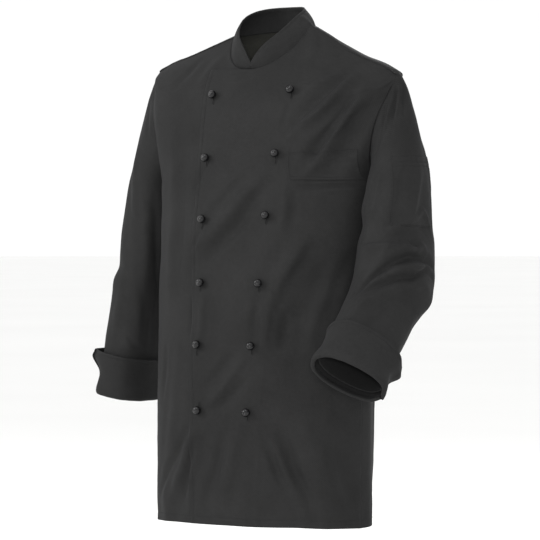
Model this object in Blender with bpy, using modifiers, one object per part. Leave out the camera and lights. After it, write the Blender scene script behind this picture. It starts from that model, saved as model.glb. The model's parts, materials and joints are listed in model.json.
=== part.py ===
"""Double-breasted chef jacket, man's size M, worn and filled out, with nobody in it.

Metres, +Z up. The wearer faces -Y, and their left is +X. The origin is midway between the neck
ends of the two shoulder seams, where the shoulders carry the jacket. The cloth is modelled as the
cut pieces: each is a thin wall, open at the neck, hem and cuffs, and 0.3 mm from its neighbours.
"""

from collections import namedtuple
from functools import lru_cache
from math import asin, copysign, cos, degrees, exp, hypot, pi, radians, sin

import bmesh
import bpy
import numpy as np
from mathutils import Matrix, Vector

for old in list(bpy.data.objects):
    bpy.data.objects.remove(old)
COLLECTION = bpy.data.collections.new("chef_jacket")
bpy.context.scene.collection.children.link(COLLECTION)

# ------------------------------------------------------------------ cloth, layers and seams

WALL = 0.0018
COLLAR_WALL = 0.0024
SEAM_GAP = 0.0003
LAYER_GAP = 0.0020
LAYER_LIFT = WALL + LAYER_GAP
POCKET_GAP = 0.0004
SMALL_STEP = 0.001


def flow(knots, values, at):
    """A smooth curve through the knots: a cubic between each two, sloped by their neighbours."""
    slopes = np.gradient(values, knots)
    i = int(np.clip(np.searchsorted(knots, at) - 1, 0, len(knots) - 2))
    span = knots[i + 1] - knots[i]
    t = (at - knots[i]) / span
    rise = values[i + 1] - values[i]
    start, end = span * slopes[i], span * slopes[i + 1]
    return values[i] + t * start + t * t * (3 * rise - 2 * start - end) + t**3 * (start + end - 2 * rise)


def power(value, exponent):
    return copysign(abs(value) ** exponent, value)


def blend(a, b, t):
    return a + (b - a) * t


def ease(t):
    t = min(max(t, 0.0), 1.0)
    return t * t * (3 - 2 * t)


# ------------------------------------------------------------------ the body's rings
# Each ring goes once round the trunk. height is that of its two sides, and lean what the wearer's
# left side adds to it and the right side loses. drop and rise are what the centre front and the
# centre back add. half_width, front, side and back place its widest points and its middles.

Ring = namedtuple("Ring", "name height lean half_width front side back drop rise squareness")
TRUNK = (
    Ring("hem", -0.799, 0.000, 0.1790, -0.150, -0.024, 0.100, 0.006, 0.003, 2.45),
    Ring("hip", -0.690, 0.000, 0.1795, -0.149, -0.024, 0.102, 0.000, 0.000, 2.45),
    Ring("low waist", -0.560, 0.000, 0.1805, -0.146, -0.022, 0.101, 0.000, 0.000, 2.45),
    Ring("waist", -0.440, 0.000, 0.1825, -0.138, -0.018, 0.102, 0.000, 0.000, 2.45),
    Ring("chest", -0.330, 0.000, 0.1895, -0.124, -0.011, 0.108, 0.000, 0.000, 2.45),
    Ring("armpit", -0.243, 0.000, 0.1980, -0.108, -0.004, 0.113, -0.002, 0.000, 2.40),
    Ring("low armhole", -0.180, 0.000, 0.2140, -0.097, 0.001, 0.111, -0.016, 0.000, 2.35),
    Ring("high armhole", -0.120, -0.004, 0.2290, -0.085, 0.007, 0.104, -0.034, 0.000, 2.30),
    Ring("under the tip", -0.080, -0.007, 0.2304, -0.0765, 0.012, 0.095, -0.045, 0.000, 2.27),
    Ring("shoulder tip", -0.068, -0.008, 0.2310, -0.074, 0.013, 0.092, -0.048, 0.004, 2.25),
    Ring("mid shoulder", -0.034, -0.0035, 0.1500, -0.066, 0.007, 0.078, -0.055, 0.003, 2.15),
    Ring("neck", 0.000, 0.005, 0.0715, -0.060, 0.000, 0.064, -0.066, 0.006, 2.00),
)
HEIGHTS = [ring.height for ring in TRUNK]
HEM, ARMPIT, TIP, NECK = (TRUNK[i].height for i in (0, 5, 9, 11))
DROP_CURVE = 0.95
ARMHOLE_SCOOP_FRONT = 0.004
ARMHOLE_SCOOP_BACK = 0.006


@lru_cache(None)
def ring_at(height):
    columns = list(zip(*TRUNK))[2:]
    return Ring("", height, *(flow(HEIGHTS, column, height) for column in columns))


def bare_point(height, turn):
    """The trunk without its folds. turn is 0 at the centre front and pi at the centre back."""
    ring = ring_at(height)
    reach = ring.side - ring.front if cos(turn) > 0 else ring.back - ring.side
    forward = power(cos(turn), 2 / ring.squareness)
    sideways = power(sin(turn), 2 / ring.squareness)
    lift = ring.drop if cos(turn) > 0 else ring.rise
    z = height + ring.lean * sideways + lift * abs(forward) ** DROP_CURVE
    return Vector((ring.half_width * sideways, ring.side - reach * forward, z))


# ------------------------------------------------------------------ the largest folds
# A fold runs straight between two places on a surface. On the trunk these are turns, in degrees
# from the centre front towards the wearer's left, and heights. out is its height, or its depth
# where it is a trough, and half_width how far it spreads.

Fold = namedtuple("Fold", "name turn_1 place_1 turn_2 place_2 half_width out")
TRUNK_FOLDS = (
    Fold("shoulder drag", 24, -0.170, 55, -0.085, 0.016, 0.0040),
    Fold("hollow under it", 36, -0.190, 58, -0.120, 0.020, -0.0050),
    Fold("second drag", 34, -0.225, 62, -0.120, 0.014, 0.0030),
    Fold("chest sweep", 4, -0.230, -17, -0.345, 0.022, 0.0045),
    Fold("belly sweep", 18, -0.340, 8, -0.475, 0.022, 0.0040),
    Fold("side hollow", 40, -0.400, 32, -0.480, 0.034, -0.0080),
    Fold("right edge sweep", -14, -0.530, -22, -0.610, 0.020, 0.0030),
    Fold("hem fan, right", -15, -0.640, -40, -0.780, 0.022, 0.0050),
    Fold("hem trough, right", -24, -0.690, -30, -0.800, 0.020, -0.0040),
    Fold("hem trough, left", 20, -0.640, 40, -0.800, 0.028, -0.0080),
    Fold("hem ridge, left", 8, -0.700, 14, -0.800, 0.020, 0.0040),
    Fold("hem ridge, left side", 56, -0.640, 60, -0.800, 0.030, 0.0050),
    Fold("right side swing", -72, -0.420, -66, -0.800, 0.030, 0.0040),
    Fold("left side swing", 92, -0.520, 96, -0.800, 0.030, 0.0040),
    Fold("left blade", 150, -0.190, 128, -0.330, 0.030, 0.0050),
    Fold("right blade", -148, -0.180, -124, -0.310, 0.030, 0.0050),
    Fold("small of the back", 168, -0.430, 132, -0.500, 0.026, -0.0060),
    Fold("under the right blade", -170, -0.400, -128, -0.470, 0.026, -0.0050),
    Fold("back flute, left", 146, -0.560, 140, -0.800, 0.032, 0.0070),
    Fold("back flute, middle", 176, -0.600, 180, -0.800, 0.028, -0.0070),
    Fold("back flute, right", -150, -0.540, -142, -0.800, 0.032, 0.0060),
    Fold("back trough, right", -124, -0.600, -120, -0.800, 0.026, -0.0060),
)
MEAN_REACH = 0.155


def fold_out(folds, turn, place, reach):
    """How far the folds push a place out. reach turns an angle into a distance round the surface."""
    total = 0.0
    for fold in folds:
        run = radians(fold.turn_2 - fold.turn_1) * reach
        climb = fold.place_2 - fold.place_1
        across = (turn - radians(fold.turn_1) + pi) % (2 * pi) - pi
        up = place - fold.place_1
        t = min(max((across * reach * run + up * climb) / (run * run + climb * climb), 0.0), 1.0)
        far = hypot(across * reach - t * run, up - t * climb) / fold.half_width
        total += fold.out * exp(-far * far)
    return total


def trunk_point(height, turn, lift=0.0):
    """A point of the cloth and the way out of it there, moved out by the folds and by lift."""
    here = bare_point(height, turn)
    across = bare_point(height, turn + SMALL_STEP) - bare_point(height, turn - SMALL_STEP)
    up = bare_point(height + SMALL_STEP, turn) - bare_point(height - SMALL_STEP, turn)
    out = across.cross(up).normalized()
    return here + out * (fold_out(TRUNK_FOLDS, turn, height, MEAN_REACH) + lift), out


# ------------------------------------------------------------------ how the trunk is cut into panels

ROWS_BELOW_ARMPIT = 14
ROWS_OF_ARMHOLE = 8
ROWS_OF_SHOULDER = 5
BACK_COLUMNS = 18
FRONT_COLUMNS = 10
OVERLAP_COLUMNS = 4


def row_heights():
    body = [blend(HEM, ARMPIT, i / ROWS_BELOW_ARMPIT) for i in range(ROWS_BELOW_ARMPIT)]
    armhole = [
        blend(ARMPIT, TIP, (1 - cos(pi * i / ROWS_OF_ARMHOLE)) / 2) for i in range(ROWS_OF_ARMHOLE)
    ]
    shoulder = [blend(TIP, NECK, i / ROWS_OF_SHOULDER) for i in range(ROWS_OF_SHOULDER + 1)]
    return body + armhole + shoulder


ROWS = row_heights()
ARMHOLE_ROWS = range(ROWS_BELOW_ARMPIT, ROWS_BELOW_ARMPIT + ROWS_OF_ARMHOLE + 1)


def armhole_turn(height, scoop):
    """The turn at which a panel ends: its seam is at the side, or further in round the armhole."""
    if not ARMPIT < height < TIP:
        return pi / 2
    climb = (height - ARMPIT) / (TIP - ARMPIT)
    line = blend(ring_at(ARMPIT).half_width, ring_at(TIP).half_width, climb)
    ring = ring_at(height)
    part = (line - scoop * sin(pi * climb)) / ring.half_width
    return asin(min(part, 1.0) ** (ring.squareness / 2))


def even_turns(height, start, end, count):
    """Turns from start to end that are the same distance apart on the cloth."""
    tries = np.linspace(start, end, 80)
    points = [bare_point(height, turn) for turn in tries]
    lengths = np.cumsum([0.0] + [(b - a).length for a, b in zip(points, points[1:])])
    return np.interp(np.linspace(0, lengths[-1], count + 1), lengths, tries)


# ------------------------------------------------------------------ buttons and front edges

ButtonRow = namedtuple("ButtonRow", "height lean middle half_spacing")
BUTTON_ROWS = (
    ButtonRow(-0.106, 0.003, 0.0065, 0.0725),
    ButtonRow(-0.207, 0.002, 0.0045, 0.0655),
    ButtonRow(-0.306, 0.003, 0.0070, 0.0580),
    ButtonRow(-0.408, 0.000, 0.0070, 0.0540),
    ButtonRow(-0.508, 0.000, 0.0035, 0.0510),
    ButtonRow(-0.613, 0.000, 0.0035, 0.0450),
)
EDGE_MARGIN = 0.0145
BUTTON_HEIGHTS = [row.height for row in reversed(BUTTON_ROWS)]
BUTTON_SPACINGS = [row.half_spacing for row in reversed(BUTTON_ROWS)]
STEP_START = 0.025
STEP_DOWN = 0.030


def free_edge(z):
    """How far past the centre front the edge of either front lies."""
    return float(np.interp(z, BUTTON_HEIGHTS, BUTTON_SPACINGS)) + EDGE_MARGIN


SCAN = np.linspace(HEM, NECK, 160)


def height_for(x, z):
    """The ring and the turn of the place on the front that is at x and z."""
    rings = [ring_at(h) for h in SCAN if ring_at(h).half_width > abs(x) + 0.004]
    turns = [asin((abs(x) / r.half_width) ** (r.squareness / 2)) for r in rings]
    levels = [
        r.height + r.lean * x / r.half_width + r.drop * power(cos(t), 2 / r.squareness) ** DROP_CURVE
        for r, t in zip(rings, turns)
    ]
    height = float(np.interp(z, levels, [r.height for r in rings]))
    return height, copysign(float(np.interp(z, levels, turns)), x)


def on_front(x, z, lift=0.0):
    height, turn = height_for(x, z)
    return trunk_point(height, turn, lift)


def top_layer_lift(x, z):
    """The left front lies over the right one, and comes down to the trunk past its hidden edge."""
    return LAYER_LIFT * (1 - ease((x - free_edge(z) - STEP_START) / STEP_DOWN))


def pulled_in(row, first, last):
    """The row with its end points drawn in along it by half a seam's gap."""
    points = [point for point, out in row]
    for use, end, inside in ((first, 0, 1), (last, -1, -2)):
        if use:
            points[end] = points[end] + (points[inside] - points[end]).normalized() * SEAM_GAP / 2
    return [(point, out) for point, (old, out) in zip(points, row)]


def front_panel(side):
    """Rows of a front, from the side seam across to its free edge. side is 1 for the wearer's left."""
    grid = []
    for height in ROWS:
        end = armhole_turn(height, ARMHOLE_SCOOP_FRONT)
        turns = even_turns(height, side * end, 0.0, FRONT_COLUMNS)
        middle_z = bare_point(height, 0.0).z
        row = []
        for turn in turns:
            point = bare_point(height, turn)
            lift = top_layer_lift(point.x, point.z) if side > 0 else 0.0
            row.append(trunk_point(height, turn, lift))
        for i in range(1, OVERLAP_COLUMNS + 1):
            x = -side * free_edge(middle_z) * i / OVERLAP_COLUMNS
            row.append(on_front(x, middle_z, LAYER_LIFT if side > 0 else 0.0))
        grid.append(pulled_in(row, True, False))
    return grid


def back_panel():
    grid = []
    for height in ROWS:
        end = pi - armhole_turn(height, ARMHOLE_SCOOP_BACK)
        turns = even_turns(height, end, 2 * pi - end, BACK_COLUMNS)
        grid.append(pulled_in([trunk_point(height, turn) for turn in turns], True, True))
    return grid


# ------------------------------------------------------------------ sleeves
# A section of a sleeve is where its middle is, how far the cloth is from it outwards (thick) and
# forwards (wide), and how far that shape is turned about the arm, in degrees. x is outwards.

Section = namedtuple("Section", "name x y z thick wide turned")
LEFT_ARM = (
    Section("upper arm", 0.2440, -0.012, -0.262, 0.0430, 0.062, 0),
    Section("lower biceps", 0.2440, -0.015, -0.318, 0.0450, 0.072, 0),
    Section("above the elbow", 0.2460, -0.018, -0.362, 0.0490, 0.075, 0),
    Section("elbow", 0.2500, -0.036, -0.405, 0.0530, 0.071, 8),
    Section("below the elbow", 0.2500, -0.069, -0.442, 0.0485, 0.059, 20),
    Section("forearm", 0.2530, -0.110, -0.479, 0.0440, 0.057, 32),
    Section("top of the cuff", 0.2580, -0.150, -0.513, 0.0380, 0.0555, 43),
    Section("wrist", 0.2640, -0.196, -0.552, 0.0300, 0.056, 50),
)
RIGHT_ARM = (
    Section("upper arm", 0.2430, 0.024, -0.262, 0.0430, 0.061, 0),
    Section("lower biceps", 0.2450, 0.014, -0.318, 0.0440, 0.063, 0),
    Section("above the elbow", 0.2480, 0.009, -0.362, 0.0440, 0.064, 0),
    Section("elbow", 0.2540, 0.007, -0.408, 0.0445, 0.064, 0),
    Section("below the elbow", 0.2640, 0.007, -0.452, 0.0440, 0.064, 0),
    Section("forearm", 0.2735, 0.007, -0.500, 0.0430, 0.064, 0),
    Section("top of the cuff", 0.2820, 0.007, -0.540, 0.0410, 0.061, 0),
    Section("wrist", 0.2930, 0.007, -0.602, 0.0380, 0.058, 0),
)
ARM_SQUARENESS = 2.4
CAP_ROWS = 7
TUBE_ROWS = 11
CUFF_PARTS = (0.0, 0.18, 0.50, 1.0)
CUFF_DEPTH = 0.075
CAP_LENGTH = 0.19
AROUND = 2 * ROWS_OF_ARMHOLE
SHOULDER_WAY = Vector((0.66, 0.0, -0.75))
UNDERARM_WAY = Vector((0.45, 0.0, -0.89))
CAP_FULLNESS = 0.5

LEFT_SLEEVE_FOLDS = (
    Fold("cap pleat", 75, 0.02, 70, 0.13, 0.012, 0.003),
    Fold("cap hollow", 50, 0.04, 52, 0.13, 0.014, -0.003),
    Fold("elbow roll", 100, 0.215, 20, 0.235, 0.014, 0.005),
    Fold("elbow crease, upper", 150, 0.255, 10, 0.265, 0.012, -0.006),
    Fold("elbow roll, lower", 150, 0.275, 30, 0.300, 0.014, 0.004),
    Fold("forearm hollow", 90, 0.330, 60, 0.420, 0.020, -0.003),
)
RIGHT_SLEEVE_FOLDS = (
    Fold("long trough", 70, 0.150, 76, 0.420, 0.018, -0.005),
    Fold("elbow crease", 10, 0.290, 60, 0.320, 0.016, -0.004),
    Fold("elbow roll", -10, 0.330, 50, 0.350, 0.018, 0.003),
    Fold("back drag", -90, 0.200, -60, 0.380, 0.020, -0.004),
)

Arm = namedtuple("Arm", "side sections folds slit ear")
ARMS = {
    "left": Arm(1, LEFT_ARM, LEFT_SLEEVE_FOLDS, -2, 0.011),
    "right": Arm(-1, RIGHT_ARM, RIGHT_SLEEVE_FOLDS, 2, 0.012),
}
ARM_REACH = 0.057


def arm_section(arm, at):
    """The section at this part of the arm, counted in sections from the first, and its way down."""
    knots = list(range(len(arm.sections)))
    columns = list(zip(*arm.sections))[1:]
    x, y, z, thick, wide, turned = (flow(knots, column, at) for column in columns)
    ahead, behind = min(at + 0.05, knots[-1]), max(at - 0.05, 0)
    down = Vector([flow(knots, column, ahead) - flow(knots, column, behind) for column in columns[:3]])
    flip = Matrix.Diagonal((arm.side, 1, 1))
    return flip @ Vector((x, y, z)), flip @ down.normalized(), thick, wide, radians(turned)


def tube_point(arm, at, around, along):
    """A point of the sleeve, from its outer line (0) through its front (pi/2) to the armpit (pi)."""
    middle, down, thick, wide, turned = arm_section(arm, at)
    outwards = Vector((arm.side, 0, 0))
    outwards = (outwards - down * outwards.dot(down)).normalized()
    forwards = down.cross(outwards) * arm.side
    n = ARM_SQUARENESS
    c, s = cos(around - turned), sin(around - turned)
    reach = (abs(c / thick) ** n + abs(s / wide) ** n) ** (-1 / n)
    reach += fold_out(arm.folds, around, along, ARM_REACH)
    return middle + (outwards * cos(around) + forwards * sin(around)) * reach


def armhole_ring(side):
    """(point, way out, way off the edge) round the armhole, from the tip down the front, up the back."""
    places = []
    for column in range(AROUND):
        front = column <= ROWS_OF_ARMHOLE
        height = ROWS[ARMHOLE_ROWS[-1] - (column if front else AROUND - column)]
        turn = armhole_turn(height, ARMHOLE_SCOOP_FRONT if front else ARMHOLE_SCOOP_BACK)
        places.append(trunk_point(height, side * (turn if front else pi - turn)))
    ring = []
    for column, (point, out) in enumerate(places):
        along = places[(column + 1) % AROUND][0] - places[column - 1][0]
        ring.append((point, out, out.cross(along).normalized() * side))
    return ring


def cuff_places(arm):
    """Where the cuff's rows are along the arm, from its top edge to the wrist."""
    last = len(arm.sections) - 1
    length = (arm_section(arm, last)[0] - arm_section(arm, last - 1)[0]).length
    return [last - CUFF_DEPTH / length * (1 - part) for part in CUFF_PARTS]


def cap_row(arm, t):
    """A row of the sleeve's head, from the armhole (0) to the first section of the arm (1)."""
    points = []
    for column, (edge, out, off) in enumerate(armhole_ring(arm.side)):
        around = 2 * pi * column / AROUND
        end = tube_point(arm, 0, around, CAP_LENGTH)
        way = blend(SHOULDER_WAY, UNDERARM_WAY, (1 - cos(around)) / 2).normalized()
        way.x *= arm.side
        start = edge + off * SEAM_GAP
        far = (end - start).length * CAP_FULLNESS
        leave, arrive, rise = way * far, arm_section(arm, 0)[1] * far, end - start
        turning = (3 * rise - 2 * leave - arrive) * t**2 + (leave + arrive - 2 * rise) * t**3
        points.append(start + leave * t + turning)
    return points


def sleeve_rows(arm):
    """Rows of points from the armhole to the wrist."""
    cuff = cuff_places(arm)
    places = [cuff[0] * i / TUBE_ROWS for i in range(TUBE_ROWS)] + cuff
    middles = [arm_section(arm, at)[0] for at in places]
    steps = [(b - a).length for a, b in zip(middles, middles[1:])]
    alongs = CAP_LENGTH + np.cumsum([0.0] + steps)
    rows = [cap_row(arm, i / CAP_ROWS) for i in range(CAP_ROWS)]
    for at, along in zip(places, alongs):
        rows.append([tube_point(arm, at, 2 * pi * i / AROUND, along) for i in range(AROUND)])
    return rows


def with_ways_out(rows):
    """The rows of a tube with the way out of the cloth at each point."""
    grid = []
    for i, row in enumerate(rows):
        above, below = rows[max(i - 1, 0)], rows[min(i + 1, len(rows) - 1)]
        line = []
        for j, point in enumerate(row):
            middle = sum(row, Vector()) / len(row)
            across = row[(j + 1) % len(row)] - row[j - 1]
            out = across.cross(below[j] - above[j]).normalized()
            line.append((point, out if out.dot(point - middle) > 0 else -out))
        grid.append(line)
    return grid


# ------------------------------------------------------------------ making the walls

def finish(name, red, green, blue, roughness):
    material = bpy.data.materials.new(name)
    material.use_nodes = True
    shader = material.node_tree.nodes["Principled BSDF"]
    shader.inputs["Base Color"].default_value = (red, green, blue, 1)
    shader.inputs["Roughness"].default_value = roughness
    return material


def add_object(name, bm, material):
    bmesh.ops.recalc_face_normals(bm, faces=bm.faces)
    mesh = bpy.data.meshes.new(name)
    bm.to_mesh(mesh)
    bm.free()
    mesh.materials.append(material)
    mesh.shade_smooth()
    mesh.set_sharp_from_angle(angle=radians(50))
    thing = bpy.data.objects.new(name, mesh)
    COLLECTION.objects.link(thing)
    return thing


def cloth_wall(name, grid, wall, shade, round_tube=False):
    """A wall of cloth lofted through rows of (point, way out), closed at all its edges."""
    bm = bmesh.new()
    outer = [[bm.verts.new(point) for point, out in row] for row in grid]
    inner = [[bm.verts.new(point - out * wall) for point, out in row] for row in grid]
    width = len(grid[0])
    columns = width if round_tube else width - 1
    for i in range(len(grid) - 1):
        for j in range(columns):
            k = (j + 1) % width
            bm.faces.new((outer[i][j], outer[i][k], outer[i + 1][k], outer[i + 1][j]))
            bm.faces.new((inner[i][j], inner[i + 1][j], inner[i + 1][k], inner[i][k]))
        if not round_tube:
            for j in (0, -1):
                bm.faces.new((outer[i][j], outer[i + 1][j], inner[i + 1][j], inner[i][j]))
    for i in (0, -1):
        for j in range(columns):
            k = (j + 1) % width
            bm.faces.new((outer[i][j], outer[i][k], inner[i][k], inner[i][j]))
    bmesh.ops.triangulate(bm, faces=bm.faces, quad_method="FIXED")
    shade_of_cloth = finish(name + "_cloth", shade, shade, shade * 1.03, 0.85)
    return add_object(name, bm, shade_of_cloth)


# ------------------------------------------------------------------ trunk pieces

LEFT_FRONT = front_panel(1)
RIGHT_FRONT = front_panel(-1)
BACK = back_panel()
cloth_wall("left_front", LEFT_FRONT, WALL, 0.035)
cloth_wall("right_front", RIGHT_FRONT, WALL, 0.033)
cloth_wall("back", BACK, WALL, 0.031)

# ------------------------------------------------------------------ collar
# The stand collar grows from the neck seam to a narrower rim. It is cut away at the front in a V.

COLLAR_ROWS = 3
COLLAR_BOW = 0.003
END_GAP = 0.0006
RIM_HALF_WIDTH = 0.050
RIM_FRONT = 0.0625
RIM_BACK = 0.060
RIM_MIDDLE = -0.004
RimHeight = namedtuple("RimHeight", "turn height")
RIM_HEIGHTS = (
    RimHeight(0, -0.053),
    RimHeight(20, -0.030),
    RimHeight(45, -0.010),
    RimHeight(90, 0.024),
    RimHeight(120, 0.035),
    RimHeight(150, 0.040),
    RimHeight(180, 0.041),
)


def rim_point(turn):
    """A point of the collar's upper edge."""
    height = flow(*zip(*RIM_HEIGHTS), degrees(abs(turn)))
    forward = cos(turn)
    y = RIM_MIDDLE - (RIM_FRONT if forward > 0 else RIM_BACK) * forward
    return Vector((RIM_HALF_WIDTH * sin(turn), y, height))


def neck_seam():
    """(point, way out, turn) along the neck seam, from the left end at the front round the back."""
    front = armhole_turn(NECK, 0.0)
    left = list(reversed(list(zip(LEFT_FRONT[-1], even_turns(NECK, front, 0.0, FRONT_COLUMNS)))))
    behind = list(zip(BACK[-1], even_turns(NECK, front, 2 * pi - front, BACK_COLUMNS)))
    right = list(zip(RIGHT_FRONT[-1], even_turns(NECK, -front, 0.0, FRONT_COLUMNS)))
    seam = [(point, turn) for (point, out), turn in left + behind[1:-1] + right]
    return [(point, (turn + pi) % (2 * pi) - pi) for point, turn in seam]


def collar_grid():
    grid = []
    seam = neck_seam()
    for row in range(COLLAR_ROWS + 1):
        t = row / COLLAR_ROWS
        points = []
        for base, turn in seam:
            rim = rim_point(turn)
            way = (rim - base).normalized()
            bow = Vector((sin(turn), -cos(turn), 0)) * COLLAR_BOW * sin(pi * t)
            points.append(blend(base + way * 0.0005, rim, t) + bow)
        grid.append(points)
    ways = []
    for i, row in enumerate(grid):
        line = []
        for j, point in enumerate(row):
            across = row[min(j + 1, len(row) - 1)] - row[max(j - 1, 0)]
            up = grid[min(i + 1, COLLAR_ROWS)][j] - grid[max(i - 1, 0)][j]
            out = across.cross(up).normalized()
            line.append((point, out))
        ways.append(line)
    for line in ways:
        for end, sign in ((0, 1), (-1, -1)):
            point, out = line[end]
            line[end] = (Vector((sign * END_GAP, point.y, point.z)), out)
    return ways


cloth_wall("collar", collar_grid(), COLLAR_WALL, 0.036)

# ------------------------------------------------------------------ sleeves and turned-back cuffs

CUFF_LIFT = WALL + 0.0008
LIP_LIFT = 2 * WALL + 0.0014
LIP_DEPTH = 0.009
CUFF_FLARE = 0.004
SLIT_HALF = radians(2.5)


def wrist_row(arm, at, lift, angles, ears=0.0):
    """Points round the arm at this place, moved out by lift, and further at the two corners."""
    middle = arm_section(arm, at)[0]
    row = []
    for i, around in enumerate(angles):
        point = tube_point(arm, at, around, CAP_LENGTH + 1)
        corner = max(1 - min(i, len(angles) - 1 - i) / 1.5, 0.0)
        row.append(point + (point - middle).normalized() * (lift + ears * corner))
    return row


def cuff_grid(arm):
    """The cuff as one strip: from the rim down outside, round its fold, and in under the sleeve."""
    start = arm.slit * 2 * pi / AROUND
    angles = [start + 2 * pi * i / AROUND for i in range(AROUND + 1)]
    angles[0] += SLIT_HALF
    angles[-1] -= SLIT_HALF
    top, high, low, end = cuff_places(arm)
    inside = wrist_row(arm, end, -LIP_LIFT, angles)
    further = wrist_row(arm, low, -LIP_LIFT, angles)
    part = LIP_DEPTH / CUFF_DEPTH / (1 - CUFF_PARTS[2])
    rows = [
        [blend(a, b, part) for a, b in zip(inside, further)],
        inside,
        wrist_row(arm, end, CUFF_LIFT, angles),
        wrist_row(arm, low, CUFF_LIFT + 0.0006, angles, arm.ear * 0.15),
        wrist_row(arm, high, CUFF_LIFT + 0.0018, angles, arm.ear),
        wrist_row(arm, top, CUFF_LIFT + CUFF_FLARE, angles, arm.ear * 0.6),
    ]
    middle, down = arm_section(arm, end)[:2]
    grid = []
    for i, row in enumerate(rows):
        line = []
        for j, point in enumerate(row):
            away = point - middle
            radial = (away - down * away.dot(down)).normalized()
            if i == 0:
                out = -radial
            elif i == 1:
                out = (down - radial).normalized() * 1.3
            elif i == 2:
                out = (down + radial).normalized() * 1.3
            else:
                out = radial
            line.append((point, out))
        grid.append(line)
    return grid[::-1]


SLEEVE_END = WALL + 0.0008
sleeve_grids = {}
for name, arm in ARMS.items():
    rows = sleeve_rows(arm)
    down = arm_section(arm, len(arm.sections) - 1)[1]
    rows[-1] = [point - down * SLEEVE_END for point in rows[-1]]
    grid = with_ways_out(rows)
    for column, (edge, out, off) in enumerate(armhole_ring(arm.side)):
        point, own = grid[0][column]
        grid[0][column] = point, blend(own, out, ease(own.dot(out))).normalized()
    sleeve_grids[name] = grid
    cloth_wall(name + "_sleeve", sleeve_grids[name], WALL, 0.034, round_tube=True)
    cloth_wall(name + "_cuff", cuff_grid(arm), WALL, 0.037)

# ------------------------------------------------------------------ pockets, from the panels' own points

POCKET_WALL = 0.0012
PocketBlock = namedtuple("PocketBlock", "name first_row last_row first_column last_column")


def laid_on(grid, block, wall):
    lift = wall + POCKET_GAP
    columns = range(block.first_column, block.last_column + 1)
    rows = grid[block.first_row : block.last_row + 1]
    return [[(row[j][0] + row[j][1] * lift, row[j][1]) for j in columns] for row in rows]


CHEST_BAND = PocketBlock("chest_pocket_band", ROWS_BELOW_ARMPIT, ROWS_BELOW_ARMPIT + 3, 1, 6)
PEN_POCKET = PocketBlock("pen_pocket", 4, 9, -2, 3)
cloth_wall(CHEST_BAND.name, laid_on(LEFT_FRONT, CHEST_BAND, POCKET_WALL), POCKET_WALL, 0.038)
cloth_wall(PEN_POCKET.name, laid_on(sleeve_grids["left"], PEN_POCKET, POCKET_WALL), POCKET_WALL, 0.038)

# ------------------------------------------------------------------ ball studs
# Each is a moulded ball with a shank, pushed through both fronts. Only the ball and the foot of the
# shank stand outside the cloth.

BALL_RADIUS = 0.0062
BALL_CENTRE = 0.0058
SHANK_RADIUS = 0.0026
STUD_STEPS = 12
PROFILE_STEPS = 6


def stud_profile():
    """(radius, height) from the top of the ball down to the foot of the shank."""
    lowest = pi - asin(SHANK_RADIUS / BALL_RADIUS)
    angles = [lowest * i / PROFILE_STEPS for i in range(PROFILE_STEPS + 1)]
    ball = [(BALL_RADIUS * sin(a), BALL_CENTRE + BALL_RADIUS * cos(a)) for a in angles]
    ball[0] = (0.0, BALL_CENTRE + BALL_RADIUS)
    return ball[:-1] + [(SHANK_RADIUS, 0.0008), (SHANK_RADIUS, 0.0), (0.0, 0.0)]


def add_stud(name, material):
    """The profile turned about its axis."""
    mesh = bpy.data.meshes.new(name)
    points = [(radius, 0.0, height) for radius, height in reversed(stud_profile())]
    mesh.from_pydata(points, [(i, i + 1) for i in range(len(points) - 1)], [])
    mesh.materials.append(material)
    stud = bpy.data.objects.new(name, mesh)
    COLLECTION.objects.link(stud)
    turned = stud.modifiers.new("turned", "SCREW")
    turned.steps = turned.render_steps = STUD_STEPS
    turned.use_merge_vertices = True
    turned.merge_threshold = 1e-5
    turned.use_smooth_shade = True
    turned.use_normal_calculate = True
    return stud


plastic = finish("stud_plastic", 0.02, 0.02, 0.021, 0.25)
for row, button in enumerate(BUTTON_ROWS, start=1):
    for side, sign in (("left", 1), ("right", -1)):
        x = button.middle + sign * button.half_spacing
        place, out = on_front(x, button.height + sign * button.lean, LAYER_LIFT)
        stud = add_stud(f"button_{side}_{row}", plastic)
        stud.location = place + out * (SEAM_GAP + 0.0008)
        stud.rotation_euler = out.to_track_quat("Z", "Y").to_euler()
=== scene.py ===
"""A double-breasted chef jacket in black twill, filled out as worn with nobody in it.

Metres, +Z up. The wearer faces -Y, and their left is +X. Each cloth piece is a flat sheet laid on
the outside of its solid, with its creases, seams and stitches worked in.
"""

import json
from collections import deque, namedtuple
from math import cos, pi, radians, sin

import bmesh
import bpy
import numpy as np
from mathutils import Matrix, Vector, kdtree, noise

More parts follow.
